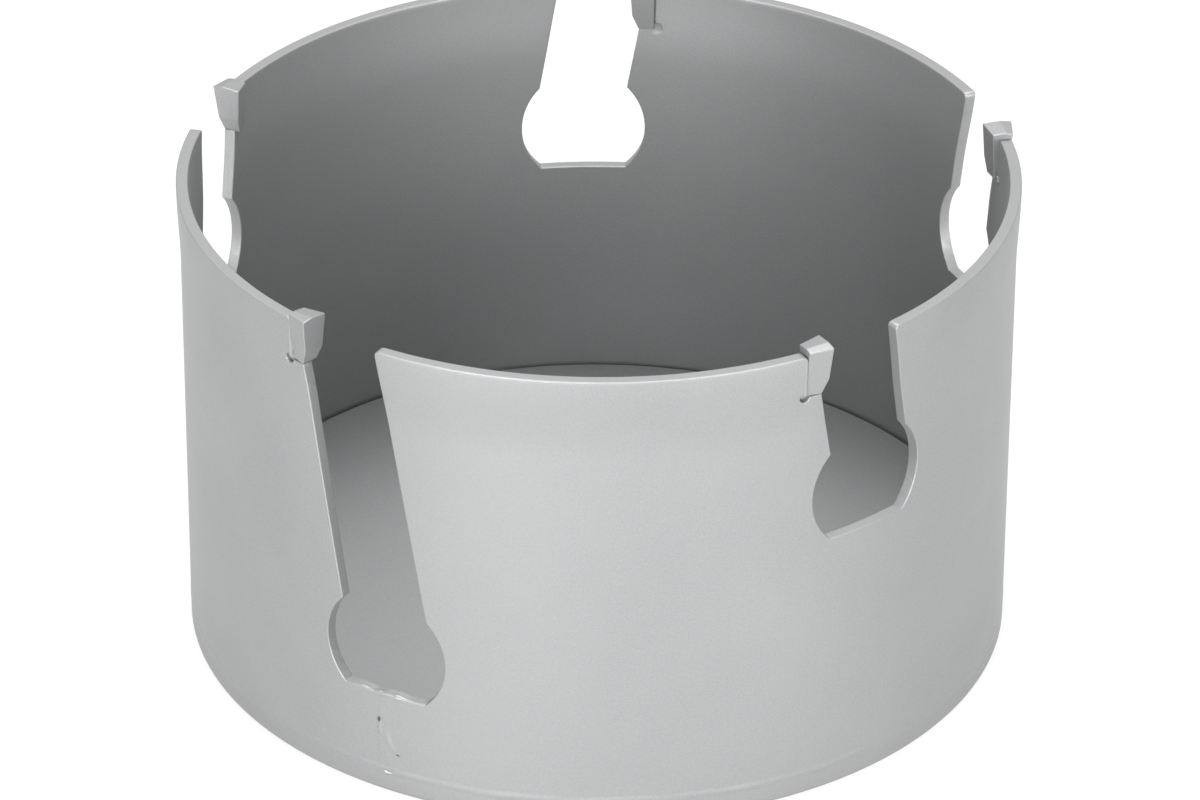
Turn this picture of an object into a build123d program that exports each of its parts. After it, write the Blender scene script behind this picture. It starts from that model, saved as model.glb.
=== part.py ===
"""Hole saw for wood and building materials: a rolled steel cup with five carbide tips.

The cup stands on its base plate with its teeth up. Millimetres. The origin is the
centre of the base plate's bottom face and +Z runs along the spindle axis, towards the
teeth. Azimuths are measured from -Y and grow towards +X, so that a point at azimuth a
and radius r is at (r sin a, -r cos a).
"""

from build123d import *
from math import cos, degrees, radians, sin, sqrt, tan
import os

# Cup wall: a strip rolled into a ring and welded to the base plate
wall_outer_diameter = 108.8
wall_thickness = 1.55
rim_height = 65.0
rim_flare = 0.35  # how far the rim is rolled out beyond the wall below it
rim_flare_height = 2.6
rim_flare_run = 1.6
rim_edge_radius = 0.45

# Base plate: a stepped disc, with its flange under the wall and its spigot inside it
flange_height = 3.3
plate_thickness = 5.9
spigot_clearance = 0.1
spigot_lead_in = 0.3
spigot_lead_in_height = 1.0
flange_edge_chamfer = 0.5

# Arbor connection: a 5/8-18 thread, bored to its crests, and a ring of drive pin holes
thread_crest_diameter = 14.35
thread_mouth_chamfer = 0.8
drive_pin_hole_diameter = 7.0
drive_pin_circle_diameter = 28.6
drive_pin_count = 4

# Gullets: slanted slots that open at the rim and end in a keyhole with a flat bottom
mouth_azimuths = (-37.0, 36.0, 107.75, 179.5, 251.2)  # wider apart over the strip's joint
gullet_lean = 10.0
gullet_width = 12.0
keyhole_radius = 8.6
keyhole_flat_drop = 6.3  # from the keyhole's centre down to its flat
short_keyhole_depth = 21.4  # from the rim down to the keyhole's centre
long_keyhole_depth = 44.0  # the first gullet is long: it ends over the strip's joint

# Carbide tips: each stands in an L-shaped seat at the trailing side of a gullet
tip_seat_depth = 1.05  # how far the seat is cut back behind the gullet's edge at the rim
tip_overhang = 2.2  # how far the cutting edge stands ahead of that edge
tip_rise = 1.0  # from the rim up to the tip's highest point
tip_seat_drop = 5.9  # from the rim down to the ledge that the tip stands on
outside_set = 1.1  # how far the cutting corners stand outside the wall: they cut 111 mm
inside_set = 1.25  # how far they stand inside it: they leave a 103.2 mm core
tip_crest_inset = 1.5  # from the cutting corner in to the tip's highest point
tip_corner_drop = 0.2
tip_heel_drop = 0.2
tip_side_relief = 0.5
tip_bore_relief = 0.6
tip_taper_outside = 0.75
tip_taper_inside = 0.65
rake_setback = 0.3
rake_knee_rise = 2.1  # from the ledge up to the knee in the rake face
seat_groove = 0.45
seat_relief_diameter = 1.3

# Sizes that follow from those above
wall_outer_radius = wall_outer_diameter / 2
wall_inner_radius = wall_outer_radius - wall_thickness
strip_radius = wall_outer_radius - wall_thickness / 2
mouth_width = gullet_width / cos(radians(gullet_lean))
lean_slope = tan(radians(gullet_lean))
neck_rise = sqrt(keyhole_radius**2 - (mouth_width / 2) ** 2)
cutting_radius = wall_outer_radius + outside_set
core_radius = wall_inner_radius - inside_set
crest_radius = cutting_radius - tip_crest_inset
tip_thickness = tip_seat_depth + tip_overhang
tip_top = rim_height + tip_rise
tip_seat_height = rim_height - tip_seat_drop
rake_knee_height = tip_seat_height + rake_knee_rise
seat_mouth = tip_seat_depth + lean_slope * (rim_height - tip_seat_height)
tool_reach = 3.0  # how far each cutting tool runs past the metal that it cuts


def arc_degrees(length):
    """The angle that a length along the rolled strip takes up."""
    return degrees(length / strip_radius)


def radial_plane(azimuth, radius):
    """A plane that faces outward at the azimuth: local X runs round the wall, local Y up."""
    turn = radians(azimuth)
    outward = (sin(turn), -cos(turn), 0)
    return Plane(
        origin=(radius * outward[0], radius * outward[1], 0),
        x_dir=(cos(turn), sin(turn), 0),
        z_dir=outward,
    )


def tooth_section_plane(azimuth, forward):
    """An upright plane across a tooth: local X is the radius, local Y is up."""
    turn = radians(azimuth)
    ahead = (cos(turn), sin(turn), 0)
    return Plane(
        origin=(forward * ahead[0], forward * ahead[1], 0),
        x_dir=(sin(turn), -cos(turn), 0),
        z_dir=(-ahead[0], -ahead[1], 0),
    )


def gullet_sketch(plane, stretch, keyhole_height):
    """The gullet's outline, its widths stretched so that the cut's sides run radially."""
    neck_height = keyhole_height + neck_rise
    neck_top = rim_height + tool_reach
    half_mouth = mouth_width / 2
    low_shift = lean_slope * (neck_height - keyhole_height)
    top_shift = -lean_slope * (neck_top - neck_height)
    with BuildSketch(plane) as outline:
        with Locations((0, keyhole_height)):
            Ellipse(x_radius=keyhole_radius * stretch, y_radius=keyhole_radius)
        with Locations((0, keyhole_height - keyhole_flat_drop)):
            Rectangle(
                4 * keyhole_radius,
                2 * keyhole_radius,
                align=(Align.CENTER, Align.MAX),
                mode=Mode.SUBTRACT,
            )
        Polygon(
            ((low_shift - half_mouth) * stretch, keyhole_height),
            ((low_shift + half_mouth) * stretch, keyhole_height),
            ((top_shift + half_mouth) * stretch, neck_top),
            ((top_shift - half_mouth) * stretch, neck_top),
            align=None,
        )
    return outline.sketch.face()


heel_azimuths = [
    azimuth - arc_degrees(mouth_width / 2 + tip_seat_depth) for azimuth in mouth_azimuths
]
keyhole_depths = [long_keyhole_depth] + [short_keyhole_depth] * (len(mouth_azimuths) - 1)

# The wall's ring, with its rim rolled outward and the rim's edges rounded
with BuildPart() as cup_wall:
    with BuildSketch(Plane.XZ) as wall_section:
        flare_end = rim_height - rim_flare_height
        flare_start = flare_end - rim_flare_run
        Polygon(
            (wall_inner_radius, flange_height),
            (wall_outer_radius, flange_height),
            (wall_outer_radius, flare_start),
            (wall_outer_radius + rim_flare, flare_end),
            (wall_outer_radius + rim_flare, rim_height),
            (wall_inner_radius + rim_flare, rim_height),
            (wall_inner_radius + rim_flare, flare_end),
            (wall_inner_radius, flare_start),
            align=None,
        )
        fillet(wall_section.vertices().group_by(Axis.Y)[-1], radius=rim_edge_radius)
    revolve(axis=Axis.Z)

    # The gullets, lofted from inside the wall to outside it
    for mouth_azimuth, keyhole_depth in zip(mouth_azimuths, keyhole_depths):
        keyhole_height = rim_height - keyhole_depth
        run = lean_slope * (keyhole_depth - neck_rise)
        keyhole_azimuth = mouth_azimuth + arc_degrees(run)
        outlines = []
        for radius in (wall_inner_radius - tool_reach, wall_outer_radius + tool_reach):
            plane = radial_plane(keyhole_azimuth, radius)
            outlines.append(gullet_sketch(plane, radius / strip_radius, keyhole_height))
        loft(sections=outlines, ruled=True, mode=Mode.SUBTRACT)

    # The tips' seats, with a relief hole in each corner and a groove for braze up each side
    for heel_azimuth in heel_azimuths:
        with BuildSketch(radial_plane(heel_azimuth, wall_inner_radius - tool_reach)):
            with Locations((0, tip_seat_height)):
                Rectangle(
                    seat_mouth + tool_reach,
                    rim_height + tool_reach - tip_seat_height,
                    align=(Align.MIN, Align.MIN),
                )
            with Locations((-seat_relief_diameter / 4, tip_seat_height)):
                Circle(seat_relief_diameter / 2)
        extrude(amount=wall_thickness + 2 * tool_reach, mode=Mode.SUBTRACT)
        with BuildSketch(Plane.XY.offset(tip_seat_height)) as grooves:
            with PolarLocations(0, 1, start_angle=heel_azimuth - 90):
                rim_radii = (wall_outer_radius + rim_flare, wall_inner_radius + rim_flare)
                for face_radius, side in zip(rim_radii, (1, -1)):
                    Polygon(
                        (face_radius - side * seat_groove, 0),
                        (face_radius + side * seat_groove, 0),
                        (face_radius + side * seat_groove, -2 * seat_groove),
                        align=None,
                    )
        extrude(amount=rim_height + tool_reach - tip_seat_height, mode=Mode.SUBTRACT)
cup_wall.part.label = "cup_wall"

# The base plate, turned in one piece
with BuildPart() as base_plate:
    with BuildSketch(Plane.XZ) as plate_section:
        spigot_radius = wall_inner_radius - spigot_clearance
        Polygon(
            (0, 0),
            (wall_outer_radius, 0),
            (wall_outer_radius, flange_height),
            (spigot_radius, flange_height),
            (spigot_radius, plate_thickness - spigot_lead_in_height),
            (spigot_radius - spigot_lead_in, plate_thickness),
            (0, plate_thickness),
            align=None,
        )
        outer_corner = plate_section.vertices().group_by(Axis.Y)[0].sort_by(Axis.X)[-1]
        chamfer(outer_corner, length=flange_edge_chamfer)
    revolve(axis=Axis.Z)
    with BuildSketch(Plane.XY) as arbor_holes:
        Circle(thread_crest_diameter / 2)
        with PolarLocations(drive_pin_circle_diameter / 2, drive_pin_count):
            Circle(drive_pin_hole_diameter / 2)
    extrude(amount=plate_thickness, mode=Mode.SUBTRACT)
    thread_mouths = base_plate.edges().filter_by(
        lambda edge: edge.geom_type == GeomType.CIRCLE
        and abs(edge.radius - thread_crest_diameter / 2) < thread_mouth_chamfer
    )
    chamfer(thread_mouths, length=thread_mouth_chamfer)
base_plate.part.label = "base_plate"

# The carbide tips: wide at the cutting edge, tapered back to the heel and down to the seat
carbide_tips = []
for number, heel_azimuth in enumerate(heel_azimuths, start=1):
    with BuildPart() as carbide_tip:
        with BuildSketch(tooth_section_plane(heel_azimuth, 0)):
            Polygon(
                (core_radius + tip_bore_relief + tip_taper_inside, tip_seat_height),
                (cutting_radius - tip_side_relief - tip_taper_outside, tip_seat_height),
                (cutting_radius - tip_side_relief, tip_top - tip_heel_drop - tip_corner_drop),
                (crest_radius, tip_top - tip_heel_drop),
                (core_radius + tip_bore_relief, tip_top - tip_heel_drop - tip_corner_drop),
                align=None,
            )
        with BuildSketch(tooth_section_plane(heel_azimuth, tip_thickness)):
            Polygon(
                (core_radius + tip_taper_inside, tip_seat_height),
                (cutting_radius - tip_taper_outside, tip_seat_height),
                (cutting_radius, tip_top - tip_corner_drop),
                (crest_radius, tip_top),
                (core_radius, tip_top - tip_corner_drop),
                align=None,
            )
        loft(ruled=True)

        # The rake face leans back a little, then bends back to meet the gullet's edge
        with BuildSketch(radial_plane(heel_azimuth, core_radius - tool_reach)):
            Polygon(
                (tip_thickness, tip_top + tool_reach),
                (tip_thickness, tip_top),
                (tip_thickness - rake_setback, rake_knee_height),
                (seat_mouth, tip_seat_height),
                (seat_mouth, tip_seat_height - tool_reach),
                (tip_thickness + tool_reach, tip_seat_height - tool_reach),
                (tip_thickness + tool_reach, tip_top + tool_reach),
                align=None,
            )
        extrude(amount=cutting_radius - core_radius + 2 * tool_reach, mode=Mode.SUBTRACT)
    carbide_tip.part.label = f"carbide_tip_{number}"
    carbide_tips.append(carbide_tip.part)

os.makedirs("parts", exist_ok=True)
export_step(cup_wall.part, "parts/cup_wall.step")
export_step(base_plate.part, "parts/base_plate.step")
for tip in carbide_tips:
    export_step(tip, f"parts/{tip.label}.step")
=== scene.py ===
from math import asin, atan2, cos, exp, pi, radians, sin, sqrt, tan

import bmesh
import bpy
from bpy.props import FloatProperty, FloatVectorProperty, IntProperty, PointerProperty
from mathutils import Matrix, Vector


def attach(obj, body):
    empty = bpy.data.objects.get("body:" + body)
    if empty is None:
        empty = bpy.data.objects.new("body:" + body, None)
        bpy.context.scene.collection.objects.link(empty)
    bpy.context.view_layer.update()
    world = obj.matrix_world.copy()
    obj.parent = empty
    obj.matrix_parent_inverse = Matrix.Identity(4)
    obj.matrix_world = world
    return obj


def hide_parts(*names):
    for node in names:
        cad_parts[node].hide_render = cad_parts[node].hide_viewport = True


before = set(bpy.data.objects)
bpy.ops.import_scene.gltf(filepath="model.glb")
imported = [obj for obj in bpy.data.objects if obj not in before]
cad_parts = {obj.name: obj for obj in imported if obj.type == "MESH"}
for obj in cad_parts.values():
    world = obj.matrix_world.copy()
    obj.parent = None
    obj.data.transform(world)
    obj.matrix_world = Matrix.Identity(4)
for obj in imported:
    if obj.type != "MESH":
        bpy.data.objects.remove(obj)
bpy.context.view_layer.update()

bl_info = {
    "name": "Hole Saw",
    "version": (1, 0, 0),
    "blender": (4, 5, 0),
    "location": "View3D > Sidebar > Hole Saw",
    "description": "Dresses a carbide-tipped hole saw and its studio",
    "category": "Object",
}


# ---------------------------------------------------------------- sizes and colours


def length(name, description, default):
    """A size in metres."""
    return FloatProperty(name=name, description=description, default=default, unit="LENGTH")


def colour(name, description, default):
    """A colour in linear red, green and blue."""
    return FloatVectorProperty(
        name=name,
        description=description,
        default=default,
        size=3,
        min=0.0,
        max=1.0,
        subtype="COLOR",
    )


class CupSizes(bpy.types.PropertyGroup):
    wall_radius: length("Wall radius", "Outside of the rolled wall, below its flared rim", 0.0544)
    wall_thickness: length("Wall thickness", "Thickness of the rolled strip", 0.00155)
    rim_height: length("Rim height", "From the back face up to the rim", 0.065)
    rim_flare: length(
        "Rim flare", "How far the rim is rolled out beyond the wall below it", 0.00035
    )
    flare_height: length(
        "Flare height", "From the rim down to where the flare begins to fade", 0.0006
    )
    flare_run: length("Flare run", "Height over which the flare fades into the wall", 0.0105)
    flange_height: length(
        "Flange height", "Height at which the wall stands on the base plate", 0.0033
    )
    outer_edge: length(
        "Outer edge rounding", "Rounding of the gullets' and the rim's outer edges", 0.0006
    )
    inner_edge: length(
        "Inner edge rounding", "Rounding of the gullets' and the rim's inner edges", 0.0004
    )
    foot_edge: length(
        "Foot edge rounding", "Rounding of the wall's outer edge above the flange", 0.0002
    )
    rim_corner: length(
        "Rim corner radius", "Rounding of the strip's corners beside each gullet's mouth", 0.0007
    )
    joint_azimuth: FloatProperty(
        name="Strip joint",
        description="Where the strip's two ends meet, round from the front",
        default=radians(-31.0),
        unit="ROTATION",
    )
    columns: IntProperty(
        name="Columns",
        description="Facets round the whole wall",
        default=432,
        min=72,
    )


class GulletSizes(bpy.types.PropertyGroup):
    mouths: FloatVectorProperty(
        name="Mouths",
        description="Middle of each gullet's mouth, round from the front",
        default=[radians(turn) for turn in (-37.0, 36.0, 107.75, 179.5, 251.2)],
        size=5,
        unit="ROTATION",
    )
    lean: FloatProperty(
        name="Lean",
        description="How far each gullet leans from upright",
        default=radians(10.0),
        unit="ROTATION",
    )
    width: length("Width", "Between the two sides of a gullet's neck", 0.012)
    keyhole_radius: length("Keyhole radius", "Radius of the round end of each gullet", 0.0086)
    keyhole_drop: length("Keyhole drop", "From a keyhole's centre down to its flat", 0.0063)
    short_depth: length(
        "Short gullet depth", "From the rim down to the keyhole's centre on the short gullets", 0.0214
    )
    long_depth: length(
        "Long gullet depth", "From the rim down to the keyhole's centre on the first gullet", 0.044
    )
    seat_depth: length(
        "Seat depth", "How far a tip's seat is cut back behind the gullet's edge", 0.00105
    )
    seat_drop: length("Seat drop", "From the rim down to the ledge that a tip stands on", 0.0059)
    relief_radius: length(
        "Relief radius", "Radius of the relief hole in the corner of each seat", 0.00065
    )
    lip: length("Weld lip", "How unevenly the weld runs over the first keyhole's flat", 0.00022)


class TipSizes(bpy.types.PropertyGroup):
    overhang: length(
        "Overhang", "How far the cutting edge stands ahead of the gullet's edge", 0.0022
    )
    rise: length("Rise", "From the rim up to a tip's highest point", 0.001)
    outside_set: length("Outside set", "How far the cutting corners stand outside the wall", 0.0011)
    inside_set: length("Inside set", "How far the cutting corners stand inside the wall", 0.00125)
    crest_inset: length(
        "Crest inset", "From the outer cutting corner in to the highest point", 0.0015
    )
    corner_drop: length("Corner drop", "From the highest point down to the cutting corners", 0.0002)
    heel_drop: length("Heel drop", "How much lower the tip's top is at its heel", 0.0002)
    side_relief: length("Side relief", "How much the outer side is ground back at the heel", 0.0005)
    bore_relief: length("Bore relief", "How much the inner side is ground back at the heel", 0.0007)
    taper_outside: length(
        "Outer taper", "How much the outer side leans in towards the ledge", 0.00075
    )
    taper_inside: length(
        "Inner taper", "How much the inner side leans in towards the ledge", 0.0003
    )
    setback: length("Rake setback", "How far the rake face leans back at its knee", 0.0003)
    knee_rise: length("Knee rise", "From the ledge up to the knee in the rake face", 0.0021)
    edge: length("Edge rounding", "Rounding of a tip's edges under its coat", 0.00015)
    braze: length("Braze radius", "Radius of the braze that fills the crease behind a tip", 0.0003)


class PlateSizes(bpy.types.PropertyGroup):
    thickness: length("Plate thickness", "Thickness of the base plate", 0.0059)
    flange_edge: length("Flange edge rounding", "Rounding of the flange's lower edge", 0.0006)
    spigot_clearance: length("Spigot clearance", "Between the spigot and the wall round it", 0.0001)
    spigot_lead_in: length(
        "Spigot lead-in", "How far the spigot's upper edge is turned back", 0.0003
    )
    spigot_lead_in_height: length(
        "Spigot lead-in height", "Height of the spigot's turned-back edge", 0.001
    )
    thread_mouth: length("Thread mouth", "Chamfer at each end of the threaded bore", 0.0008)
    thread_root: length(
        "Thread root radius", "Radius of the bore between the thread's ridges", 0.0079375
    )
    thread_crest: length("Thread crest radius", "Radius of the thread's ridges", 0.007175)
    thread_pitch: length("Thread pitch", "Rise of the thread in one turn", 0.001411)
    pin_hole_radius: length(
        "Pin hole radius", "Radius of the holes for the arbor's drive pins", 0.0035
    )
    pin_circle_radius: length(
        "Pin circle radius", "Radius of the circle on which the pin holes lie", 0.0143
    )
    pin_count: IntProperty(
        name="Pin holes",
        description="Number of holes for drive pins",
        default=4,
        min=0,
    )


class WeldSizes(bpy.types.PropertyGroup):
    foot_height: length("Foot weld height", "Height of the weld bead along the wall's foot", 0.0016)
    foot_rise: length("Foot weld rise", "How far the foot's weld bead stands proud", 0.00006)
    joint_width: length(
        "Joint weld width", "Width of the dressed weld that closes the strip's joint", 0.0026
    )
    joint_rise: length("Joint weld rise", "How far the joint's dressed weld stands proud", 0.00003)


class Finishes(bpy.types.PropertyGroup):
    silver: colour("Silver coat", "Colour of the satin silver coat", (0.324, 0.329, 0.331))
    silver_shade: colour(
        "Silver coat in its grain", "Colour of the coat between its flakes", (0.270, 0.274, 0.276)
    )
    carbide: colour("Coated carbide", "Colour of the coat over the carbide", (0.324, 0.329, 0.331))
    thread: colour("Cut thread", "Colour of the coat inside the thread", (0.28, 0.284, 0.286))
    floor: colour("Floor", "Colour of the studio's floor", (0.86, 0.86, 0.86))


# ---------------------------------------------------------------- shader helpers


def add_node(tree, kind, **settings):
    node = tree.nodes.new(kind)
    for name, value in settings.items():
        setattr(node, name, value)
    return node


def add_math(tree, operation, first, second, use_clamp=False):
    """The sum, product or larger of two sockets or numbers."""
    node = add_node(tree, "ShaderNodeMath", operation=operation, use_clamp=use_clamp)
    for socket, value in zip(node.inputs, (first, second)):
        if isinstance(value, float):
            socket.default_value = value
        else:
            tree.links.new(value, socket)
    return node.outputs[0]


def add_noise(tree, position, scale, detail, roughness, low, high):
    """A noise texture, spread so that low and high become 0 and 1."""
    noise = add_node(tree, "ShaderNodeTexNoise")
    noise.inputs["Detail"].default_value = detail
    noise.inputs["Roughness"].default_value = roughness
    tree.links.new(position, noise.inputs["Vector"])
    tree.links.new(scale, noise.inputs["Scale"])
    spread = add_node(tree, "ShaderNodeMapRange")
    spread.inputs["From Min"].default_value = low
    spread.inputs["From Max"].default_value = high
    tree.links.new(noise.outputs["Fac"], spread.inputs["Value"])
    return spread.outputs["Result"]


def satin_grain_group():
    """Fine flakes and faint patches of a sprayed silver coat."""
    found = bpy.data.node_groups.get("Satin grain")
    if found:
        return found
    group = bpy.data.node_groups.new("Satin grain", "ShaderNodeTree")
    face = group.interface
    face.new_socket(name="Position", in_out="INPUT", socket_type="NodeSocketVector")
    face.new_socket(name="Coat", in_out="INPUT", socket_type="NodeSocketColor")
    face.new_socket(name="Shade", in_out="INPUT", socket_type="NodeSocketColor")
    for name, default in (
        ("Flake scale", 5200.0),
        ("Patch scale", 46.0),
        ("Flake contrast", 0.5),
        ("Patch contrast", 0.3),
        ("Base roughness", 0.42),
        ("Roughness spread", 0.10),
    ):
        socket = face.new_socket(name=name, in_out="INPUT", socket_type="NodeSocketFloat")
        socket.default_value = default
    face.new_socket(name="Color", in_out="OUTPUT", socket_type="NodeSocketColor")
    face.new_socket(name="Roughness", in_out="OUTPUT", socket_type="NodeSocketFloat")
    face.new_socket(name="Height", in_out="OUTPUT", socket_type="NodeSocketFloat")
    link = group.links.new
    entry = add_node(group, "NodeGroupInput")
    leave = add_node(group, "NodeGroupOutput")
    given = entry.outputs
    flakes = add_noise(group, given["Position"], given["Flake scale"], 2.0, 0.6, 0.36, 0.64)
    patches = add_noise(group, given["Position"], given["Patch scale"], 4.0, 0.55, 0.35, 0.65)
    flake_share = add_math(group, "MULTIPLY", flakes, given["Flake contrast"])
    patch_share = add_math(group, "MULTIPLY", patches, given["Patch contrast"])
    shade_share = add_math(group, "ADD", flake_share, patch_share, use_clamp=True)
    coat = add_node(group, "ShaderNodeMix", data_type="RGBA")
    link(shade_share, coat.inputs["Factor"])
    link(given["Coat"], coat.inputs["A"])
    link(given["Shade"], coat.inputs["B"])
    link(coat.outputs["Result"], leave.inputs["Color"])
    rough_part = add_math(group, "MULTIPLY", shade_share, given["Roughness spread"])
    rough = add_math(group, "ADD", rough_part, given["Base roughness"])
    link(rough, leave.inputs["Roughness"])
    link(flakes, leave.inputs["Height"])
    return group


def satin_material(name, coat, shade, metallic, roughness, flake_scale=5200.0, bump=0.06):
    """A sprayed silver coat over bare steel or carbide."""
    material = bpy.data.materials.new(name)
    material.use_nodes = True
    tree = material.node_tree
    tree.nodes.clear()
    link = tree.links.new
    place = add_node(tree, "ShaderNodeTexCoord")
    grain = add_node(tree, "ShaderNodeGroup", node_tree=satin_grain_group())
    grain.inputs["Coat"].default_value = (*coat, 1.0)
    grain.inputs["Shade"].default_value = (*shade, 1.0)
    grain.inputs["Flake scale"].default_value = flake_scale
    grain.inputs["Base roughness"].default_value = roughness
    link(place.outputs["Object"], grain.inputs["Position"])
    relief = add_node(tree, "ShaderNodeBump")
    relief.inputs["Strength"].default_value = bump
    relief.inputs["Distance"].default_value = 0.0001
    link(grain.outputs["Height"], relief.inputs["Height"])
    surface = add_node(tree, "ShaderNodeBsdfPrincipled")
    surface.inputs["Metallic"].default_value = metallic
    link(grain.outputs["Color"], surface.inputs["Base Color"])
    link(grain.outputs["Roughness"], surface.inputs["Roughness"])
    link(relief.outputs["Normal"], surface.inputs["Normal"])
    leave = add_node(tree, "ShaderNodeOutputMaterial")
    link(surface.outputs["BSDF"], leave.inputs["Surface"])
    return material


def darker(tone, share):
    """A colour brought down to a share of itself."""
    return tuple(share * part for part in tone)


def finish_material(name):
    """One of the saw's finishes, made on first use."""
    found = bpy.data.materials.get(name)
    if found:
        return found
    finishes = bpy.context.scene.saw_finishes
    silver, shade = tuple(finishes.silver), tuple(finishes.silver_shade)
    if name == "satin_silver_coat":
        return satin_material(name, silver, shade, 0.70, 0.45)
    if name == "turned_silver_coat":
        return satin_material(name, darker(silver, 0.98), darker(shade, 0.98), 0.70, 0.48)
    # Painted shade: a dark coat for the drops that stand in for the shade in the weld's pores and
    # undercut
    if name == "pore_painted_shade":
        return satin_material(name, darker(shade, 0.30), darker(shade, 0.18), 0.5, 0.6)
    if name == "dressed_weld":
        return satin_material(name, silver, shade, 0.70, 0.45, flake_scale=4200.0, bump=0.10)
    coat, roughness = {
        "carbide_coat": (tuple(finishes.carbide), 0.45),
        "thread_coat": (tuple(finishes.thread), 0.42),
    }[name]
    return satin_material(name, coat, darker(coat, 0.8), 0.70, roughness, flake_scale=7000.0)


# ---------------------------------------------------------------- mesh helpers

# Two places nearer than this, in metres, are the same place
CLOSE = 1e-7
# A weld's edges lie this far under the wall, so that they don't show
SUNK = 0.000004


def trace_to(bm, vert, x, z):
    """Draws the outline on from its last point."""
    corner = bmesh.ops.extrude_vert_indiv(bm, verts=[vert])["verts"][0]
    corner.co = (x, vert.co.y, z)
    return corner


def sweep(bm, geom, steps, angle=2 * pi, cent=(0, 0, 0), axis=(0, 0, 1), step=(0, 0, 0)):
    """Sweeps an outline round an axis, along it or both, and closes a full turn."""
    closed = angle == 2 * pi
    return bmesh.ops.spin(
        bm,
        geom=geom,
        cent=cent,
        axis=axis,
        dvec=step,
        angle=angle,
        steps=steps,
        use_merge=closed,
        use_normal_flip=False,
        use_duplicate=False,
    )


def trace_arc(bm, vert, x, z, angle, steps):
    """Draws the outline on round a centre, anticlockwise as seen from the front."""
    made = sweep(bm, [vert], steps, angle, cent=(x, vert.co.y, z), axis=(0, -1, 0))
    return next(part for part in made["geom_last"] if isinstance(part, bmesh.types.BMVert))


def round_edges(bm, edges, width, segments):
    """Rounds the edges given."""
    bmesh.ops.bevel(
        bm,
        geom=edges,
        offset=width,
        offset_type="OFFSET",
        affect="EDGES",
        segments=segments,
        profile=0.5,
        material=-1,
        clamp_overlap=True,
    )


def cut_across(bm, point, normal, clear=False):
    """Divides the faces along a plane, and may clear what lies in front of it."""
    bmesh.ops.bisect_plane(
        bm,
        geom=bm.verts[:] + bm.edges[:] + bm.faces[:],
        dist=1e-8,
        plane_co=point,
        plane_no=normal,
        clear_outer=clear,
        clear_inner=False,
    )


def all_closed(bm):
    """Whether every edge has two faces."""
    return all(len(edge.link_faces) == 2 for edge in bm.edges)


def make_piece(name, bm, finish, node=None, sharp=32.0, weighted=False):
    """Turns a mesh into a piece of the saw."""
    bmesh.ops.recalc_face_normals(bm, faces=bm.faces[:])
    if not all_closed(bm):
        raise RuntimeError(f"{name} isn't closed")
    mesh = bpy.data.meshes.new(name)
    bm.to_mesh(mesh)
    bm.free()
    mesh.shade_smooth()
    mesh.set_sharp_from_angle(angle=radians(sharp))
    mesh.materials.append(finish_material(finish))
    piece = bpy.data.objects.new(name, mesh)
    bpy.context.scene.collection.objects.link(piece)
    if weighted:
        even = piece.modifiers.new("even_normals", "WEIGHTED_NORMAL")
        even.mode = "FACE_AREA"
        even.keep_sharp = True
    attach(piece, "root")
    if node:
        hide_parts(node)


def radial(azimuth):
    """The outward direction at an azimuth, which is measured from the front."""
    return Vector((sin(azimuth), -cos(azimuth), 0.0))


def ahead(azimuth):
    """The direction round the wall at an azimuth, to the right as seen from outside."""
    return Vector((cos(azimuth), sin(azimuth), 0.0))


def strip_radius(cup):
    """The radius at which lengths along the flat strip are true."""
    return cup.wall_radius - cup.wall_thickness / 2


def flare_at(cup, z):
    """How far the wall is rolled out at a height, easing in and out."""
    below = cup.rim_height - cup.flare_height - z
    share = min(max(1 - below / cup.flare_run, 0.0), 1.0)
    return cup.rim_flare * share * share * (3 - 2 * share)


def gullet_plan(cup, gullets, number):
    """Where the outline of a gullet runs on the flat strip, in metres."""
    roll = strip_radius(cup)
    slope = tan(gullets.lean)
    mouth = roll * gullets.mouths[number]
    half = gullets.width / cos(gullets.lean) / 2
    depth = gullets.long_depth if number == 0 else gullets.short_depth
    rise = sqrt(gullets.keyhole_radius**2 - half**2)
    height = cup.rim_height - depth
    return {
        "half": half,
        "height": height,
        "neck": height + rise,
        "middle": mouth + slope * (depth - rise),
        "mouth": mouth,
        "heel": mouth - half - gullets.seat_depth,
        "ledge": cup.rim_height - gullets.seat_drop,
        "ledge_end": mouth - half + slope * gullets.seat_drop,
        "neck_angle": asin(rise / gullets.keyhole_radius),
        "flat_angle": asin(gullets.keyhole_drop / gullets.keyhole_radius),
        "flat": height - gullets.keyhole_drop,
        "flat_half": sqrt(gullets.keyhole_radius**2 - gullets.keyhole_drop**2),
    }


# ---------------------------------------------------------------- pieces


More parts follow.
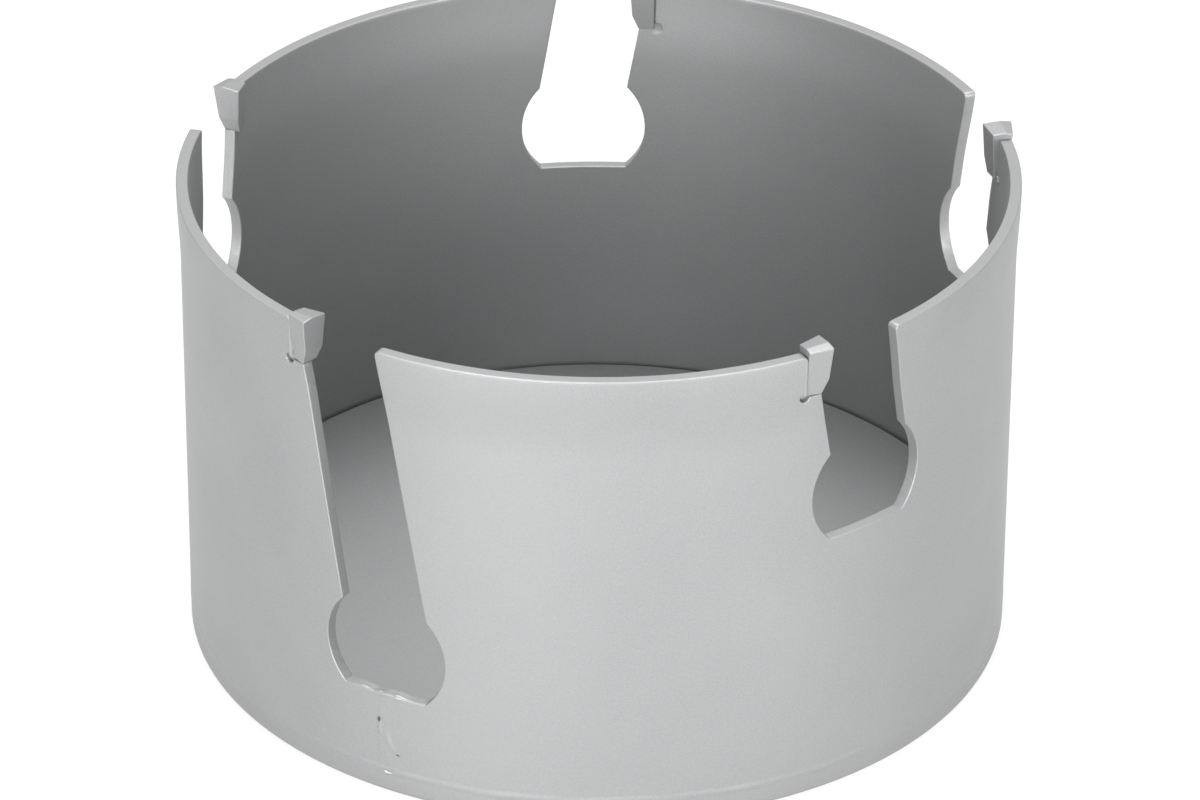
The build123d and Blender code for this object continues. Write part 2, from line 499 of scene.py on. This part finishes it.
class HOLESAW_OT_roll_cup_wall(bpy.types.Operator):
    """Blanks the strip with its gullets and seats, and rolls it into the cup's wall"""

    bl_idname = "holesaw.roll_cup_wall"
    bl_label = "Roll the cup wall"

    def blank_strip(self, cup, gullets):
        """The outline of the flat strip, from one end to the other."""
        bm = bmesh.new()
        roll = strip_radius(cup)
        start = roll * cup.joint_azimuth
        around = 2 * pi * roll
        count = len(gullets.mouths)
        first = bm.verts.new((start, -cup.wall_thickness / 2, cup.flange_height))
        pen = first
        for number in range(count + 1):
            plan = gullet_plan(cup, gullets, number % count)
            shift = around if number == count else 0.0
            middle = plan["middle"] + shift
            ledge = plan["ledge"]
            bend = plan["neck_angle"] + plan["flat_angle"]
            if number > 0:
                heel = plan["heel"] + shift
                relief = gullets.relief_radius
                hole = heel - relief / 2
                pen = trace_to(bm, pen, heel, cup.rim_height)
                pen = trace_to(bm, pen, heel, ledge + relief * sin(radians(60)))
                pen = trace_arc(bm, pen, hole, ledge, radians(300), 15)
                pen = trace_to(bm, pen, plan["ledge_end"] + shift, ledge)
                pen = trace_to(bm, pen, middle - plan["half"], plan["neck"])
                pen = trace_arc(bm, pen, middle, plan["height"], bend, 20)
            if number == 0:
                pen = trace_to(bm, pen, start, plan["flat"])
            if number == count:
                pen = trace_to(bm, pen, start + around, plan["flat"])
                pen = trace_to(bm, pen, start + around, cup.flange_height)
                bm.edges.new((pen, first))
            else:
                pen = trace_to(bm, pen, middle + plan["flat_half"], plan["flat"])
                pen = trace_arc(bm, pen, middle, plan["height"], bend, 20)
                pen = trace_to(bm, pen, plan["mouth"] + plan["half"], cup.rim_height)
        bmesh.ops.contextual_create(bm, geom=bm.edges[:])
        return bm, start, start + around

    def lip(self, gullets, plan, x, z):
        """How far the joint's weld lifts the keyhole's flat at a point of the strip."""
        over = (x - plan["middle"]) / plan["flat_half"]
        reach = 0.0012
        near = 1 - abs(z - plan["flat"]) / reach
        if abs(over) > 1 or near < 0:
            return 0.0
        wave = 0.45 * sin(7.1 * over + 0.6) + 0.35 * sin(16.3 * over + 2.1) + 0.2 * sin(31.0 * over)
        return gullets.lip * (wave + 0.35) * cos(over * pi / 2) * near

    def execute(self, context):
        cup = context.scene.saw_cup
        gullets = context.scene.saw_gullets
        bm, start, end = self.blank_strip(cup, gullets)
        front = -cup.wall_thickness / 2

        # The strip's thickness, and the rounding of its blanked edges
        thick = bmesh.ops.extrude_face_region(bm, geom=bm.faces[:])
        moved = [part for part in thick["geom"] if isinstance(part, bmesh.types.BMVert)]
        bmesh.ops.translate(bm, verts=moved, vec=(0, cup.wall_thickness, 0))
        bmesh.ops.recalc_face_normals(bm, faces=bm.faces[:])
        corners = [
            edge
            for edge in bm.edges
            if abs(edge.verts[0].co.y - edge.verts[1].co.y) > cup.wall_thickness / 2
            and edge.verts[0].co.z > cup.rim_height - 10 * CLOSE
        ]
        round_edges(bm, corners, cup.rim_corner, 4)

        def rim_loop(y):
            """The blanked outline on one side, without the strip's ends and its foot."""
            chosen = []
            for edge in bm.edges:
                a, b = (vert.co for vert in edge.verts)
                if abs(a.y - y) > CLOSE or abs(b.y - y) > CLOSE:
                    continue
                if abs(a.x - b.x) < CLOSE and min(abs(a.x - start), abs(a.x - end)) < CLOSE:
                    continue
                if max(a.z, b.z) < cup.flange_height + CLOSE:
                    continue
                chosen.append(edge)
            return chosen

        def foot_loop(y):
            """The foot's edge on one side."""
            return [
                edge
                for edge in bm.edges
                if all(abs(vert.co.y - y) < CLOSE for vert in edge.verts)
                and all(vert.co.z < cup.flange_height + CLOSE for vert in edge.verts)
            ]

        round_edges(bm, rim_loop(front), cup.outer_edge, 5)
        round_edges(bm, rim_loop(-front), cup.inner_edge, 3)
        round_edges(bm, foot_loop(front), cup.foot_edge, 3)

        # Columns to bend at, and rows through the flare
        for column in range(1, cup.columns):
            x = start + (end - start) * column / cup.columns
            cut_across(bm, (x, 0, 0), (1, 0, 0))
        rows = 21
        for row in range(rows + 1):
            z = cup.rim_height - cup.flare_height - cup.flare_run * row / rows
            cut_across(bm, (0, 0, z), (0, 0, 1))

        # Rolled round the axis, with the rim rolled out
        roll = strip_radius(cup)
        first = gullet_plan(cup, gullets, 0)
        for vert in bm.verts:
            x, y, z = vert.co
            place = radial(x / roll) * (roll - y + flare_at(cup, z))
            lift = sum(self.lip(gullets, first, along, z) for along in (x, x - 2 * pi * roll))
            vert.co = (place.x, place.y, z + lift)

        # The two ends joined, with nothing left between them
        joint = radial(cup.joint_azimuth)
        side = ahead(cup.joint_azimuth)

        def at_joint(vert):
            return abs(vert.co.dot(side)) < 10 * CLOSE and vert.co.dot(joint) > 0

        meeting = [vert for vert in bm.verts if at_joint(vert)]
        bmesh.ops.remove_doubles(bm, verts=meeting, dist=20 * CLOSE)
        ends = [face for face in bm.faces if all(at_joint(vert) for vert in face.verts)]
        bmesh.ops.delete(bm, geom=ends, context="FACES_ONLY")
        make_piece(
            "rolled_cup_wall", bm, "satin_silver_coat", "cup_wall", weighted=True
        )
        return {"FINISHED"}


class HOLESAW_OT_turn_base_plate(bpy.types.Operator):
    """Turns the base plate, with its flange and spigot, and drills its holes"""

    bl_idname = "holesaw.turn_base_plate"
    bl_label = "Turn the base plate"

    def turn(self, bm, start, outline, cent, steps):
        """A turned side, whose outline starts at a point and runs on through lines and arcs."""
        pen = bm.verts.new((start[0], 0, start[1]))
        drawn = [pen]
        for point in outline:
            before = set(bm.verts)
            if len(point) == 2:
                pen = trace_to(bm, pen, *point)
            else:
                pen = trace_arc(bm, pen, *point)
            drawn += [vert for vert in bm.verts if vert not in before]
        lines = list({edge for vert in drawn for edge in vert.link_edges})
        bmesh.ops.translate(bm, verts=drawn, vec=cent)
        sweep(bm, drawn + lines, steps, cent=cent)

    def execute(self, context):
        cup = context.scene.saw_cup
        plate = context.scene.saw_plate
        top = plate.thickness
        wall = cup.wall_radius
        spigot = wall - cup.wall_thickness - plate.spigot_clearance
        shoulder = spigot - plate.spigot_lead_in
        mouth = plate.thread_crest + plate.thread_mouth
        edge = plate.flange_edge
        # Each turned side reaches this far on to the flat faces, which fill what is left
        margin = 0.0004
        bm = bmesh.new()
        outer_side = [
            (wall - edge, 0.0),
            (wall - edge, edge, radians(90), 8),
            (wall, cup.flange_height - cup.foot_edge),
            (wall - cup.foot_edge, cup.flange_height),
            (spigot, cup.flange_height),
            (spigot, top - plate.spigot_lead_in_height),
            (shoulder, top),
            (shoulder - margin, top),
        ]
        self.turn(bm, (wall - edge - margin, 0.0), outer_side, (0, 0, 0), 360)
        bore = [
            (mouth, 0.0),
            (plate.thread_root, mouth - plate.thread_root),
            (plate.thread_root, top - mouth + plate.thread_root),
            (mouth, top),
            (mouth + margin, top),
        ]
        self.turn(bm, (mouth + margin, 0.0), bore, (0, 0, 0), 96)
        hole = plate.pin_hole_radius
        bevel = 0.00015
        pin_hole = [
            (hole + bevel, 0.0),
            (hole, bevel),
            (hole, top - bevel),
            (hole + bevel, top),
            (hole + bevel + margin, top),
        ]
        for number in range(plate.pin_count):
            turn = 2 * pi * number / plate.pin_count
            cent = (plate.pin_circle_radius * cos(turn), plate.pin_circle_radius * sin(turn), 0)
            self.turn(bm, (hole + bevel + margin, 0.0), pin_hole, cent, 48)
        for height, normal in ((0.0, (0, 0, -1)), (top, (0, 0, 1))):
            loops = [
                edge
                for edge in bm.edges
                if len(edge.link_faces) == 1
                and all(abs(vert.co.z - height) < CLOSE for vert in edge.verts)
            ]
            bmesh.ops.triangle_fill(
                bm, use_beauty=True, use_dissolve=False, edges=loops, normal=normal
            )
        make_piece("turned_base_plate", bm, "turned_silver_coat", "base_plate", 40.0)
        return {"FINISHED"}


class HOLESAW_OT_weld_foot(bpy.types.Operator):
    """Runs the dressed weld between the wall's foot and the flange"""

    bl_idname = "holesaw.weld_foot"
    bl_label = "Weld the foot"

    def execute(self, context):
        cup = context.scene.saw_cup
        weld = context.scene.saw_welds
        bm = bmesh.new()
        half = weld.foot_height / 2
        low = cup.flange_height - half
        root = cup.wall_radius - 0.0006
        rows = 12
        first = bm.verts.new((root, 0, low))
        pen = first
        for row in range(rows + 1):
            pen = trace_to(bm, pen, cup.wall_radius, low + 2 * half * row / rows)
        pen = trace_to(bm, pen, root, cup.flange_height + half)
        bm.edges.new((pen, first))
        sweep(bm, bm.verts[:] + bm.edges[:], 720)
        for vert in bm.verts:
            radius = sqrt(vert.co.x**2 + vert.co.y**2)
            if radius < (root + cup.wall_radius) / 2:
                continue
            turn = atan2(vert.co.x, -vert.co.y)
            across = (vert.co.z - cup.flange_height) / half
            height = 0.72 + 0.16 * sin(23 * turn) + 0.12 * sin(57 * turn + 1.3)
            wander = 0.00010 * sin(9 * turn + 0.8) + 0.00006 * sin(31 * turn)
            crown = 0.5 + 0.5 * cos(pi * across)
            scale = (radius + weld.foot_rise * height * crown - SUNK) / radius
            shift = wander * (1 - across * across)
            vert.co = (vert.co.x * scale, vert.co.y * scale, vert.co.z + shift)
        make_piece("foot_weld", bm, "dressed_weld", sharp=60.0)
        return {"FINISHED"}


class HOLESAW_OT_weld_joint(bpy.types.Operator):
    """Lays the dressed weld that closes the strip's joint under the first keyhole"""

    bl_idname = "holesaw.weld_joint"
    bl_label = "Weld the strip's joint"

    # What the dressing left of the weld, in millimetres. Ridges: from the weld's left edge
    # across, bottom, top, half width and rise. Lumps: across, height, half width, half
    # height and rise.
    RIDGES = ((0.55, 8.9, 10.4, 0.32, 0.060), (0.62, 4.2, 8.4, 0.45, 0.014))
    LUMPS = (
        (0.9, 11.2, 0.50, 0.60, 0.040),
        (1.65, 8.3, 0.34, 0.60, 0.050),
        (2.0, 7.5, 0.34, 0.50, 0.050),
        (2.4, 6.8, 0.40, 0.36, 0.050),
    )

    def rise(self, weld, across, z):
        """The weld's rise at a point, all in millimetres, across it and up the wall."""
        width = 1000 * weld.joint_width
        side = 1.1
        inside = min(1.0, max(0.0, across / side)) * min(1.0, max(0.0, (width - across) / side))
        inside = inside * inside * (3 - 2 * inside)
        level = 1000 * weld.joint_rise * inside * (1 + 0.3 * sin(2.3 * z) * sin(1.9 * across))
        run_out = 0.5
        for x, low, high, half, height in self.RIDGES:
            start = min(1.0, max(0.0, (z - low) / run_out + 1.0))
            end = min(1.0, max(0.0, (high - z) / run_out + 1.0))
            level += height * max(0.0, 1 - ((across - x) / half) ** 2) * start * end
        for x, middle, half, tall, height in self.LUMPS:
            level += height * exp(-(((across - x) / half) ** 2) - ((z - middle) / tall) ** 2)
        return level

    def lay_weld(self, cup, weld, plan):
        """The dressed weld itself, from the flange up to the keyhole's flat."""
        low, high = cup.flange_height, plan["flat"] - 0.0004
        wide = weld.joint_width + 0.0010
        root = -0.0005
        fade = 12
        bm = bmesh.new()
        bmesh.ops.create_grid(bm, x_segments=90, y_segments=230, size=0.5)
        grown = bmesh.ops.extrude_face_region(bm, geom=bm.faces[:])
        deep = {part for part in grown["geom"] if isinstance(part, bmesh.types.BMVert)}
        for vert in bm.verts:
            across = (vert.co.x + 0.5) * wide
            z = low + (vert.co.y + 0.5) * (high - low)
            edge = fade * min(vert.co.x + 0.5, 0.5 - vert.co.x, vert.co.y + 0.5)
            level = self.rise(weld, across * 1000, z * 1000) / 1000 * min(1.0, edge) - SUNK
            turn = cup.joint_azimuth + (across - 0.00018) / cup.wall_radius
            place = radial(turn) * (cup.wall_radius + (root if vert in deep else level))
            vert.co = (place.x, place.y, z)
        make_piece("joint_weld", bm, "dressed_weld", sharp=80.0)

    def lay_drop(self, cup, name, finish, turn, z, size, out):
        """A flat drop on the wall, its size given along it, outward and upward."""
        bm = bmesh.new()
        bmesh.ops.create_uvsphere(bm, u_segments=32, v_segments=16, radius=1.0)
        for vert in bm.verts:
            x, y, up = vert.co
            wave = 1 + 0.18 * sin(5 * x + 1.0) + 0.10 * sin(11 * x)
            place = radial(turn + size[0] * x / cup.wall_radius)
            place = place * (cup.wall_radius + out + size[1] * y * wave)
            vert.co = (place.x, place.y, z + size[2] * up * wave)
        make_piece(name, bm, finish, sharp=80.0)

    def roll_lip(self, cup, plan):
        """The lip where the weld rolls over the keyhole's flat."""
        first = plan["middle"] - plan["flat_half"] * 0.97
        last = plan["middle"] + plan["flat_half"] * 0.93
        roll = strip_radius(cup)
        thin, swell = 0.00004, 0.00040
        inset, drop, heave = 0.00036, 0.00026, 0.00010
        steps = 90
        bm = bmesh.new()
        ring = bmesh.ops.create_circle(bm, cap_ends=True, segments=16, radius=1.0)["verts"]
        for vert in ring:
            vert.co = (0, vert.co.x, vert.co.y)
        step = ((last - first) / steps, 0, 0)
        sweep(bm, bm.faces[:] + bm.edges[:], steps, 0.0, axis=(1, 0, 0), step=step)
        for vert in bm.verts:
            x, y, z = vert.co
            along = x / (last - first)
            ends = sqrt(max(0.0, sin(pi * min(max(along, 0.0), 1.0))))
            wave = 0.75 + 0.17 * sin(11.0 * along + 0.4) + 0.12 * sin(27.0 * along + 2.0)
            size = thin + swell * wave * ends
            place = radial((first + x) / roll) * (cup.wall_radius - inset + y * size)
            vert.co = (place.x, place.y, plan["flat"] - drop + heave * wave + z * size)
        make_piece("keyhole_weld_lip", bm, "dressed_weld", sharp=80.0)

    def execute(self, context):
        cup = context.scene.saw_cup
        plan = gullet_plan(cup, context.scene.saw_gullets, 0)
        self.lay_weld(cup, context.scene.saw_welds, plan)

        # The splash where the weld runs out over the flange
        turn = cup.joint_azimuth + 0.0010 / cup.wall_radius
        size = (0.0013, 0.00020, 0.00034)
        self.lay_drop(cup, "joint_weld_splash", "dressed_weld", turn, 0.00288, size, -0.00003)

        # Dark drops on the weld, which are painted shade: they stand in for the shade in its pores
        # and in the undercut beside its splash
        painted_pore_shades = (
            (-30.62, 0.01075, (0.00022, 0.00004, 0.00036), 0.000075),
            (-27.80, 0.00600, (0.00036, 0.00002, 0.00009), 0.00001),
            (-28.55, 0.00352, (0.00050, 0.00002, 0.00012), 0.00001),
        )
        for number, (azimuth, z, size, out) in enumerate(painted_pore_shades, start=1):
            name = f"joint_weld_painted_pore_shade_{number}"
            self.lay_drop(cup, name, "pore_painted_shade", radians(azimuth), z, size, out)
        self.roll_lip(cup, plan)
        return {"FINISHED"}


class HOLESAW_OT_cut_arbor_thread(bpy.types.Operator):
    """Cuts the thread's ridges round the bore of the base plate"""

    bl_idname = "holesaw.cut_arbor_thread"
    bl_label = "Cut the arbor thread"

    def execute(self, context):
        plate = context.scene.saw_plate
        pitch = plate.thread_pitch
        turns = (plate.thickness - pitch) / pitch
        facets = 48
        bm = bmesh.new()
        # The ridges are rooted a little way into the bore
        base = plate.thread_root + 0.00002
        ridge = [
            bm.verts.new((base, 0, 0.02 * pitch)),
            bm.verts.new((plate.thread_crest, 0, 0.40 * pitch)),
            bm.verts.new((plate.thread_crest, 0, 0.52 * pitch)),
            bm.verts.new((base, 0, 0.90 * pitch)),
        ]
        section = bm.faces.new(ridge)
        steps = int(facets * turns)
        climb = (0, 0, (plate.thickness - pitch) / steps)
        sweep(bm, [section] + section.edges[:], steps, 2 * pi * turns, step=climb)
        # The ridges run out in the chamfer at each mouth
        for vert in bm.verts:
            radius = sqrt(vert.co.x**2 + vert.co.y**2)
            below = plate.thread_mouth - vert.co.z
            above = vert.co.z - plate.thickness + plate.thread_mouth
            least = min(plate.thread_crest + max(below, above, 0.0), base)
            if radius < least:
                vert.co.x *= least / radius
                vert.co.y *= least / radius
        make_piece("arbor_thread_ridges", bm, "thread_coat", sharp=25.0)
        return {"FINISHED"}


class HOLESAW_OT_braze_carbide_tips(bpy.types.Operator):
    """Grinds the carbide tips and sets each in its seat"""

    bl_idname = "holesaw.braze_carbide_tips"
    bl_label = "Braze in the carbide tips"

    def grind_tip(self, cup, gullets, tips):
        """One tip, with its heel on the YZ plane, its rake face ahead in +X and Y as its radius."""
        bm = bmesh.new()
        top = cup.rim_height + tips.rise
        ledge = cup.rim_height - gullets.seat_drop
        outer = cup.wall_radius + tips.outside_set
        core = cup.wall_radius - cup.wall_thickness - tips.inside_set
        crest = outer - tips.crest_inset
        back_outer, back_core = outer - tips.side_relief, core + tips.bore_relief
        back_top = top - tips.heel_drop
        heel = [
            (back_core + tips.taper_inside, ledge),
            (back_outer - tips.taper_outside, ledge),
            (back_outer, back_top - tips.corner_drop),
            (crest, back_top),
            (back_core, back_top - tips.corner_drop),
        ]
        front = [
            (core + tips.taper_inside, ledge),
            (outer - tips.taper_outside, ledge),
            (outer, top - tips.corner_drop),
            (crest, top),
            (core, top - tips.corner_drop),
        ]
        thickness = gullets.seat_depth + tips.overhang
        back = bm.faces.new([bm.verts.new((0, radius, z)) for radius, z in heel])
        grown = bmesh.ops.extrude_face_region(bm, geom=[back])
        moved = [part for part in grown["geom"] if isinstance(part, bmesh.types.BMVert)]
        for vert in moved:
            near = min(heel, key=lambda point: abs(point[0] - vert.co.y) + abs(point[1] - vert.co.z))
            radius, z = front[heel.index(near)]
            vert.co = (thickness, radius, z)
        knee = ledge + tips.knee_rise
        foot = gullets.seat_depth + tan(gullets.lean) * gullets.seat_drop
        for low, high in (
            ((thickness - tips.setback, knee), (thickness, top)),
            ((foot, ledge), (thickness - tips.setback, knee)),
        ):
            run, climb = high[0] - low[0], high[1] - low[1]
            cut_across(bm, (low[0], 0, low[1]), (climb, 0, -run), clear=True)
            loose = [edge for edge in bm.edges if len(edge.link_faces) == 1]
            bmesh.ops.edgeloop_fill(bm, edges=loose)
        bmesh.ops.recalc_face_normals(bm, faces=bm.faces[:])
        round_edges(bm, bm.edges[:], tips.edge, 3)
        return bm

    def run_braze(self, cup, gullets, tips):
        """The braze in a seat: a filled relief hole, a bead over it and a rod up the crease."""
        bm = bmesh.new()
        ledge = cup.rim_height - gullets.seat_drop
        wall = cup.wall_radius
        inner = wall - cup.wall_thickness
        hole = gullets.relief_radius

        # The plug: shares of the hole's radius, and depths under the wall's two sides
        outer_face = ((0.35, 0.00005), (0.65, 0.00009), (0.88, 0.00016), (1.06, 0.00024))
        inner_face = ((1.12, 0.00001), (0.88, 0.00003), (0.65, 0.00005), (0.35, 0.00006))
        pen = bm.verts.new((0, 0, wall - 0.00004))
        for out, depth in outer_face:
            pen = trace_to(bm, pen, hole * out, wall - depth)
        for out, depth in inner_face:
            pen = trace_to(bm, pen, hole * out, inner + depth)
        trace_to(bm, pen, 0, inner + 0.00006)
        sweep(bm, bm.verts[:] + bm.edges[:], 32)
        bmesh.ops.remove_doubles(bm, verts=bm.verts[:], dist=CLOSE)
        slope, set_in = 0.42, 0.00005
        for vert in bm.verts:
            x, y, z = vert.co
            lean = slope * y - set_in if z > (inner + wall) / 2 else 0.0
            vert.co = (x - hole / 2, z + lean, ledge + y)

        # The bead over the relief hole
        middle = Vector((-0.00018, wall - 0.00006, ledge + 0.00160))
        size = Vector((0.00038, 0.00024, 0.00085))
        bead = bmesh.ops.create_uvsphere(bm, u_segments=20, v_segments=12, radius=1.0)["verts"]
        for vert in bead:
            vert.co = middle + size * vert.co

        # The rod, which follows the flare and stands just proud of the wall
        start, run = 0.0004, gullets.seat_drop - 0.0010
        behind, proud = 0.00022, 0.00006
        rod = bmesh.ops.create_cone(
            bm,
            cap_ends=True,
            cap_tris=False,
            segments=20,
            radius1=tips.braze,
            radius2=tips.braze,
            depth=run,
        )["verts"]
        for vert in rod:
            z = ledge + start + vert.co.z + run / 2
            radius = wall + flare_at(cup, z) - tips.braze + proud
            vert.co = (vert.co.x - behind, radius + vert.co.y, z)
        return bm

    def execute(self, context):
        cup = context.scene.saw_cup
        gullets = context.scene.saw_gullets
        tips = context.scene.saw_tips
        for number in range(len(gullets.mouths)):
            azimuth = gullet_plan(cup, gullets, number)["heel"] / strip_radius(cup)
            out, on = radial(azimuth), ahead(azimuth)
            tip = self.grind_tip(cup, gullets, tips)
            braze = self.run_braze(cup, gullets, tips)
            for vert in tip.verts[:] + braze.verts[:]:
                x, radius, z = vert.co
                place = out * radius + on * x
                vert.co = (place.x, place.y, z)
            label = number + 1
            node = f"carbide_tip_{label}"
            name = f"ground_tip_{label}"
            make_piece(name, tip, "carbide_coat", node, 50.0, weighted=True)
            make_piece(f"braze_{label}", braze, "dressed_weld", sharp=50.0)
        return {"FINISHED"}


# ---------------------------------------------------------------- studio


def soft_lamp(name, place, aim, size, power):
    """A square softbox that faces a point."""
    lamp = bpy.data.lights.new(name, "AREA")
    lamp.shape = "SQUARE"
    lamp.size = size
    lamp.energy = power
    box = bpy.data.objects.new(name, lamp)
    box.location = place
    box.rotation_euler = (Vector(aim) - Vector(place)).to_track_quat("-Z", "Y").to_euler()
    bpy.context.scene.collection.objects.link(box)


def place_at(azimuth, elevation, distance):
    """A place round the saw, its azimuth measured from the front."""
    level = distance * cos(radians(elevation))
    spot = radial(radians(azimuth)) * level
    return (spot.x, spot.y, distance * sin(radians(elevation)))


def seen_directly(tree):
    """1 for rays that show a surface in the picture, in a reflection or through glass."""
    path = add_node(tree, "ShaderNodeLightPath").outputs
    seen = add_math(tree, "MAXIMUM", path["Is Camera Ray"], path["Is Glossy Ray"])
    return add_math(tree, "MAXIMUM", seen, path["Is Transmission Ray"])


class HOLESAW_OT_set_studio(bpy.types.Operator):
    """Lays the floor and sets the lamps, the surroundings and the camera"""

    bl_idname = "holesaw.set_studio"
    bl_label = "Set the studio"

    def lay_floor(self, context):
        bm = bmesh.new()
        bmesh.ops.create_grid(bm, x_segments=4, y_segments=4, size=3.0)
        mesh = bpy.data.meshes.new("studio_floor")
        bm.to_mesh(mesh)
        bm.free()
        floor = bpy.data.objects.new("studio_floor", mesh)
        context.scene.collection.objects.link(floor)
        material = bpy.data.materials.new("pale_floor")
        material.use_nodes = True
        tree = material.node_tree
        tree.nodes.clear()
        link = tree.links.new
        matte = add_node(tree, "ShaderNodeBsdfDiffuse")
        matte.inputs["Color"].default_value = (*context.scene.saw_finishes.floor, 1.0)
        white = add_node(tree, "ShaderNodeEmission")
        white.inputs["Strength"].default_value = 1.0
        # The rest of the floor's colour is matte, and takes the saw's shadow
        white_share = 0.82
        share = add_math(tree, "MULTIPLY", seen_directly(tree), white_share)
        mix = add_node(tree, "ShaderNodeMixShader")
        link(share, mix.inputs["Fac"])
        link(matte.outputs["BSDF"], mix.inputs[1])
        link(white.outputs["Emission"], mix.inputs[2])
        leave = add_node(tree, "ShaderNodeOutputMaterial")
        link(mix.outputs["Shader"], leave.inputs["Surface"])
        mesh.materials.append(material)

    def surround(self, context):
        world = bpy.data.worlds.new("studio_surround")
        world.use_nodes = True
        context.scene.world = world
        tree = world.node_tree
        tree.nodes.clear()
        link = tree.links.new
        fill = add_node(tree, "ShaderNodeBackground")
        fill.inputs["Color"].default_value = (1.0, 1.0, 1.0, 1.0)
        fill.inputs["Strength"].default_value = 0.58
        white = add_node(tree, "ShaderNodeBackground")
        white.inputs["Strength"].default_value = 1.0
        mix = add_node(tree, "ShaderNodeMixShader")
        link(seen_directly(tree), mix.inputs["Fac"])
        link(fill.outputs["Background"], mix.inputs[1])
        link(white.outputs["Background"], mix.inputs[2])
        leave = add_node(tree, "ShaderNodeOutputWorld")
        link(mix.outputs["Shader"], leave.inputs["Surface"])

    def aim_camera(self, context):
        eye = Vector((0.0, -0.76890, 0.47886))
        yaw, pitch, roll = 0.00036, 0.52774, 0.00474
        forward = Vector((sin(yaw) * cos(pitch), cos(yaw) * cos(pitch), -sin(pitch)))
        level = Vector((cos(yaw), -sin(yaw), 0.0))
        upward = level.cross(forward)
        right = cos(roll) * level + sin(roll) * upward
        top = -sin(roll) * level + cos(roll) * upward
        lens = bpy.data.cameras.new("studio_camera")
        lens.sensor_fit = "HORIZONTAL"
        lens.sensor_width = 36.0
        lens.lens = 202.07
        lens.clip_start = 0.05
        lens.clip_end = 20.0
        camera = bpy.data.objects.new("studio_camera", lens)
        turn = Matrix((right, top, -forward)).transposed()
        camera.matrix_world = Matrix.Translation(eye) @ turn.to_4x4()
        context.scene.collection.objects.link(camera)
        context.scene.camera = camera

    def execute(self, context):
        self.lay_floor(context)
        self.surround(context)
        self.aim_camera(context)
        middle = (0.0, 0.0, 0.035)
        for name, azimuth, elevation, distance, size, power in (
            ("left_softbox", -24, 10, 1.1, 0.7, 17.0),
            ("right_softbox", 36, 10, 1.1, 0.7, 11.6),
            ("top_softbox", 180, 80, 1.3, 0.9, 18.0),
        ):
            soft_lamp(name, place_at(azimuth, elevation, distance), middle, size, power)
        context.scene.view_settings.view_transform = "Standard"
        return {"FINISHED"}


# ---------------------------------------------------------------- panel and start


STEPS = (
    HOLESAW_OT_roll_cup_wall,
    HOLESAW_OT_turn_base_plate,
    HOLESAW_OT_weld_foot,
    HOLESAW_OT_weld_joint,
    HOLESAW_OT_cut_arbor_thread,
    HOLESAW_OT_braze_carbide_tips,
    HOLESAW_OT_set_studio,
)

SETTINGS = (
    ("saw_cup", CupSizes),
    ("saw_gullets", GulletSizes),
    ("saw_tips", TipSizes),
    ("saw_plate", PlateSizes),
    ("saw_welds", WeldSizes),
    ("saw_finishes", Finishes),
)


class HOLESAW_PT_workshop(bpy.types.Panel):
    """Lists the saw's sizes and the steps that make it"""

    bl_idname = "HOLESAW_PT_workshop"
    bl_label = "Hole Saw"
    bl_space_type = "VIEW_3D"
    bl_region_type = "UI"
    bl_category = "Hole Saw"

    def draw(self, context):
        for attribute, group in SETTINGS:
            column = self.layout.column(align=True)
            for name in group.__annotations__:
                column.prop(getattr(context.scene, attribute), name)
        for step in STEPS:
            self.layout.operator(step.bl_idname)


def register():
    for attribute, group in SETTINGS:
        bpy.utils.register_class(group)
        setattr(bpy.types.Scene, attribute, PointerProperty(type=group))
    for step in STEPS:
        bpy.utils.register_class(step)
    bpy.utils.register_class(HOLESAW_PT_workshop)


def unregister():
    bpy.utils.unregister_class(HOLESAW_PT_workshop)
    for step in reversed(STEPS):
        bpy.utils.unregister_class(step)
    for attribute, group in reversed(SETTINGS):
        delattr(bpy.types.Scene, attribute)
        bpy.utils.unregister_class(group)


def main():
    register()
    bpy.ops.holesaw.roll_cup_wall()
    bpy.ops.holesaw.turn_base_plate()
    bpy.ops.holesaw.weld_foot()
    bpy.ops.holesaw.weld_joint()
    bpy.ops.holesaw.cut_arbor_thread()
    bpy.ops.holesaw.braze_carbide_tips()
    bpy.ops.holesaw.set_studio()


if __name__ == "__main__":
    main()
